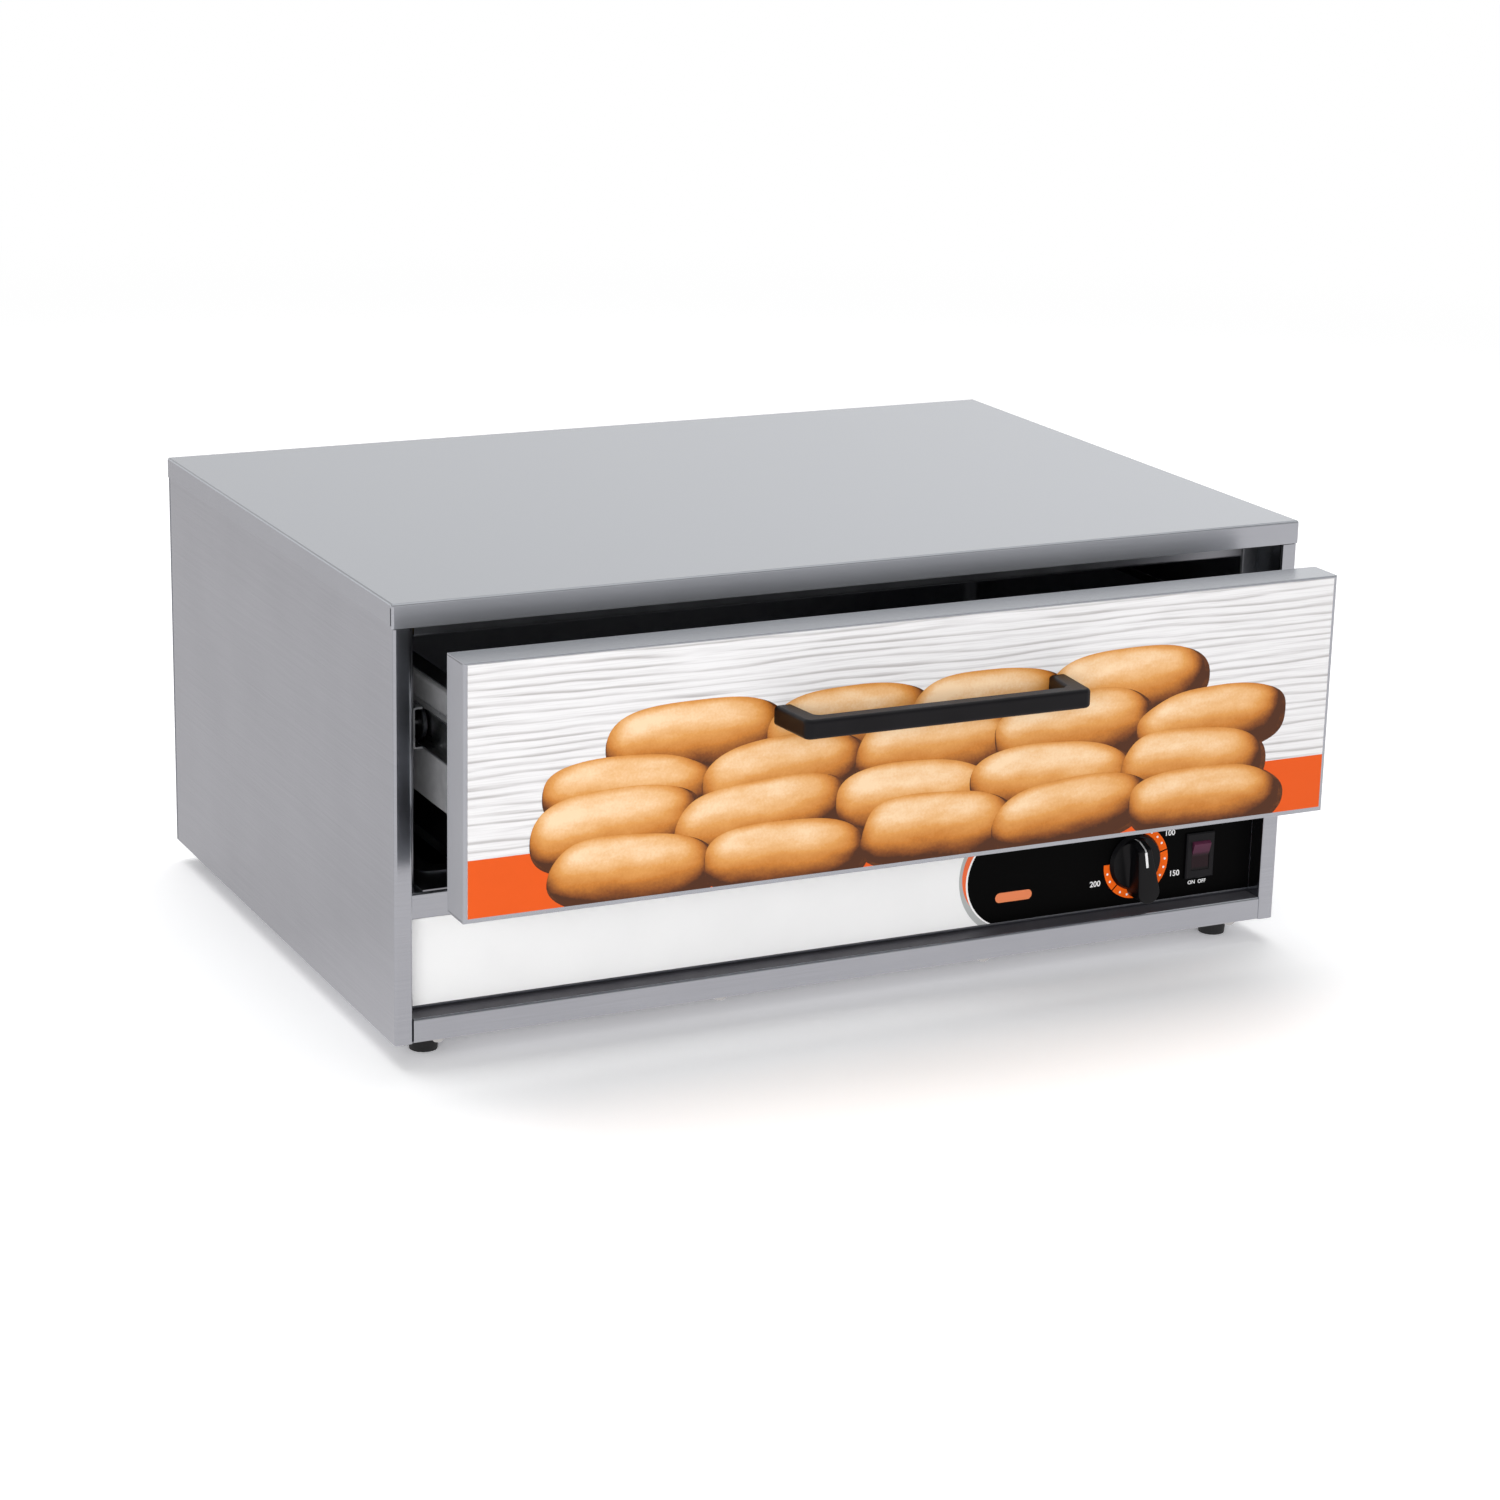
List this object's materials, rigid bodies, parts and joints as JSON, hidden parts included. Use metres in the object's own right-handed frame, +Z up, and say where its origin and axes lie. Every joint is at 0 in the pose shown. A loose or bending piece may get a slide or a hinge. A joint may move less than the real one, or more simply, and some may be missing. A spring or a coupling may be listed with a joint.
{
  "type": "hot dog bun warmer",
  "caption": "Countertop stainless drawer warmer for hot dog buns, with one wide handled drawer on roller slides, a recessed control panel with a dial and a rocker switch, and rubber feet.",
  "frame": {"origin": "centre of the part's footprint on the surface that its feet stand on, with the drawer part open", "axes": "+Z up, -Y towards the user, where the drawer opens, +X to the user's right"},
  "size_m": [0.622, 0.5414, 0.2852],
  "materials": {
    "brushed_stainless": "brushed grain, satin",
    "plain_stainless": "mill finish sheet",
    "zinc_steel": "zinc plated",
    "bright_screw": "polished",
    "sheathed_element": "oxidised steel sheath",
    "black_moulding": "fine moulded texture",
    "knob_moulding": "satin moulded",
    "white_ink": "printed",
    "label_film": "satin printed film",
    "print_film": "satin printed film",
    "rocker_red": "translucent red",
    "black_rubber": "matt",
    "bakelite": "moulded",
    "ceramic_block": "bisque",
    "brass_tab": "plain",
    "copper_tube": "drawn",
    "mineral_wool": "fibrous"
  },
  "bodies": {
    "cabinet": {"back_panel": "brushed_stainless", "base_pan": "plain_stainless", "bulb_clips": "zinc_steel", "capillary_tube": "copper_tube", "case_screws": "bright_screw", "cavity_floor": "plain_stainless", "ceiling_liner": "plain_stainless", "control_box_wall": "plain_stainless", "control_label": "label_film", "control_panel": "brushed_stainless", "cord_bushing": "black_moulding", "element_clips": "zinc_steel", "foot_screws": "bright_screw", "front_rail": "brushed_stainless", "front_roller_pins": "zinc_steel", "heater_well": "plain_stainless", "heating_element": "sheathed_element", "inner_wall_left": "plain_stainless", "inner_wall_right": "plain_stainless", "insulation_top": "mineral_wool", "insulation_walls": "mineral_wool", "rail_screws": "bright_screw", "rear_liner": "plain_stainless", "rubber_feet": "black_rubber", "sensing_bulb": "copper_tube", "side_panel_left": "brushed_stainless", "side_panel_right": "brushed_stainless", "slide_cabinet_left": "zinc_steel", "slide_cabinet_right": "zinc_steel", "switch_housing": "black_moulding", "switch_terminals": "brass_tab", "terminal_block": "ceramic_block", "thermostat_body": "bakelite", "top_cover": "brushed_stainless", "water_pan": "plain_stainless", "water_pan_rails": "plain_stainless"},
    "drawer": {"drawer_front": "brushed_stainless", "drawer_filling": "mineral_wool", "drawer_liner": "plain_stainless", "front_print": "print_film", "handle": "black_moulding", "handle_screws": "bright_screw", "drawer_hanger_left": "plain_stainless", "drawer_hanger_right": "plain_stainless", "drawer_back": "plain_stainless", "bun_pan": "plain_stainless", "slide_drawer_left": "zinc_steel", "slide_drawer_right": "zinc_steel", "rear_roller_pins": "zinc_steel"},
    "knob": {"control_knob": "knob_moulding", "knob_pointer": "white_ink", "thermostat_shaft": "zinc_steel"},
    "rocker": {"switch_rocker": "rocker_red"},
    "front_roller_left": {"front_roller_left": "zinc_steel"},
    "front_roller_right": {"front_roller_right": "zinc_steel"},
    "rear_roller_left": {"rear_roller_left": "zinc_steel"},
    "rear_roller_right": {"rear_roller_right": "zinc_steel"}
  },
  "joints": [
    {"name": "drawer_slide", "type": "slide", "parent": "cabinet", "child": "drawer", "axis": [0, -1, 0], "range_m": [-0.0692, 0.2308]},
    {"name": "knob_turn", "type": "hinge", "parent": "cabinet", "child": "knob", "pos_m": [0.2082, -0.15065, 0.0626], "axis": [0, 1, 0], "range_deg": [0, 270]},
    {"name": "rocker_press", "type": "hinge", "parent": "cabinet", "child": "rocker", "pos_m": [0.2581, -0.14935, 0.0611], "axis": [-1, 0, 0], "range_deg": [0, 16]},
    {"name": "front_roller_left_spin", "type": "hinge", "parent": "cabinet", "child": "front_roller_left", "pos_m": [-0.27777, -0.1207, 0.2006], "axis": [1, 0, 0], "range_deg": [-360, 1200]},
    {"name": "front_roller_right_spin", "type": "hinge", "parent": "cabinet", "child": "front_roller_right", "pos_m": [0.27777, -0.1207, 0.2006], "axis": [1, 0, 0], "range_deg": [-360, 1200]},
    {"name": "rear_roller_left_spin", "type": "hinge", "parent": "drawer", "child": "rear_roller_left", "pos_m": [-0.28292, 0.1377, 0.2006], "axis": [1, 0, 0], "range_deg": [-360, 1200]},
    {"name": "rear_roller_right_spin", "type": "hinge", "parent": "drawer", "child": "rear_roller_right", "pos_m": [0.28292, 0.1377, 0.2006], "axis": [1, 0, 0], "range_deg": [-360, 1200]}
  ],
  "couplings": [
    {"joint": "front_roller_left_spin", "follows": "drawer_slide", "rad_per_m": 88.496},
    {"joint": "front_roller_right_spin", "follows": "drawer_slide", "rad_per_m": 88.496},
    {"joint": "rear_roller_left_spin", "follows": "drawer_slide", "rad_per_m": 88.496},
    {"joint": "rear_roller_right_spin", "follows": "drawer_slide", "rad_per_m": 88.496}
  ]
}
